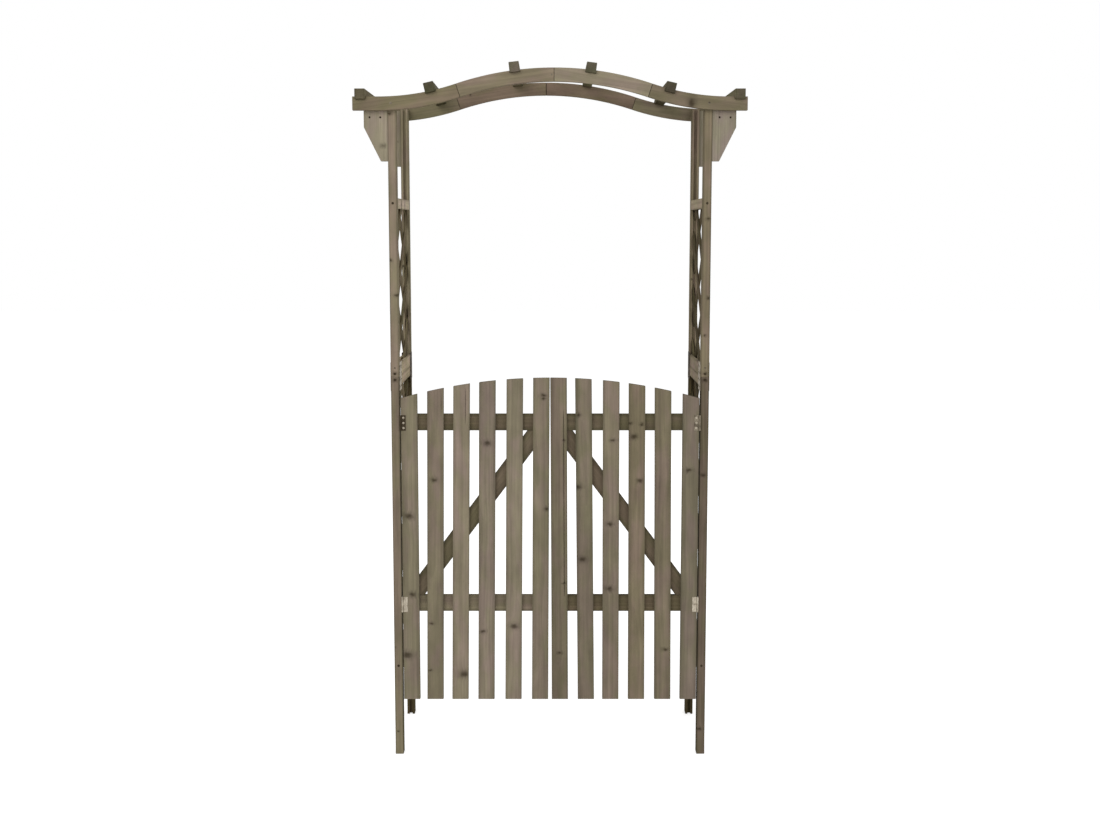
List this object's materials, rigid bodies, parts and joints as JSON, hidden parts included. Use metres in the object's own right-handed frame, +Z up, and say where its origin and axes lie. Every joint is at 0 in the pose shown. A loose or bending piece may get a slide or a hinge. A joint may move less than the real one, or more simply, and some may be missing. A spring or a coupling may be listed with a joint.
{
  "type": "wooden garden arch with a double picket gate",
  "caption": "Free-standing softwood arch with trellis sides, ogee beams and battens, and a pair of arched picket gate leaves on butt hinges.",
  "frame": {"origin": "on the ground, at the middle of the four feet", "axes": "+Z up, +X to the right seen from the gate side, +Y to the back, away from the gate"},
  "size_m": [1.16, 0.4, 2.1111],
  "materials": {
    "frame_wood": "matte, weathered stain",
    "lattice_wood": "matte, weathered stain",
    "bracket_wood": "matte, weathered stain",
    "batten_wood": "matte, weathered stain",
    "beam_wood": "matte, weathered stain",
    "picket_wood": "matte, weathered stain",
    "gate_rail_wood": "matte, weathered stain",
    "zinc_steel": "dull zinc"
  },
  "bodies": {
    "frame": {"left_front_post_lower": "frame_wood", "left_front_post_upper": "frame_wood", "left_back_post_lower": "frame_wood", "left_back_post_upper": "frame_wood", "right_front_post_lower": "frame_wood", "right_front_post_upper": "frame_wood", "right_back_post_lower": "frame_wood", "right_back_post_upper": "frame_wood", "post_joint_plates": "zinc_steel", "left_lower_side_rails": "frame_wood", "left_upper_side_rails": "frame_wood", "right_lower_side_rails": "frame_wood", "right_upper_side_rails": "frame_wood", "left_lower_lattice": "lattice_wood", "left_upper_lattice": "lattice_wood", "right_lower_lattice": "lattice_wood", "right_upper_lattice": "lattice_wood", "left_front_bracket": "bracket_wood", "left_back_bracket": "bracket_wood", "right_front_bracket": "bracket_wood", "right_back_bracket": "bracket_wood", "front_beam_left_end": "beam_wood", "front_beam_left_crown": "beam_wood", "front_beam_right_crown": "beam_wood", "front_beam_right_end": "beam_wood", "back_beam_left_end": "beam_wood", "back_beam_left_crown": "beam_wood", "back_beam_right_crown": "beam_wood", "back_beam_right_end": "beam_wood", "batten_1": "batten_wood", "batten_2": "batten_wood", "batten_3": "batten_wood", "batten_4": "batten_wood", "batten_5": "batten_wood", "batten_6": "batten_wood", "left_hinge_fixed_plates": "zinc_steel", "right_hinge_fixed_plates": "zinc_steel"},
    "left_leaf": {"left_pickets": "picket_wood", "left_gate_rails": "gate_rail_wood", "left_brace": "gate_rail_wood", "left_hinge_leaf_plates": "zinc_steel"},
    "right_leaf": {"right_pickets": "picket_wood", "right_gate_rails": "gate_rail_wood", "right_brace": "gate_rail_wood", "right_hinge_leaf_plates": "zinc_steel"}
  },
  "joints": [
    {"name": "left_leaf_hinge", "type": "hinge", "parent": "frame", "child": "left_leaf", "pos_m": [-0.45275, -0.1748, 0.477], "axis": [0, 0, -1], "range_deg": [0, 170]},
    {"name": "right_leaf_hinge", "type": "hinge", "parent": "frame", "child": "right_leaf", "pos_m": [0.45275, -0.1748, 0.477], "axis": [0, 0, 1], "range_deg": [0, 170]}
  ]
}
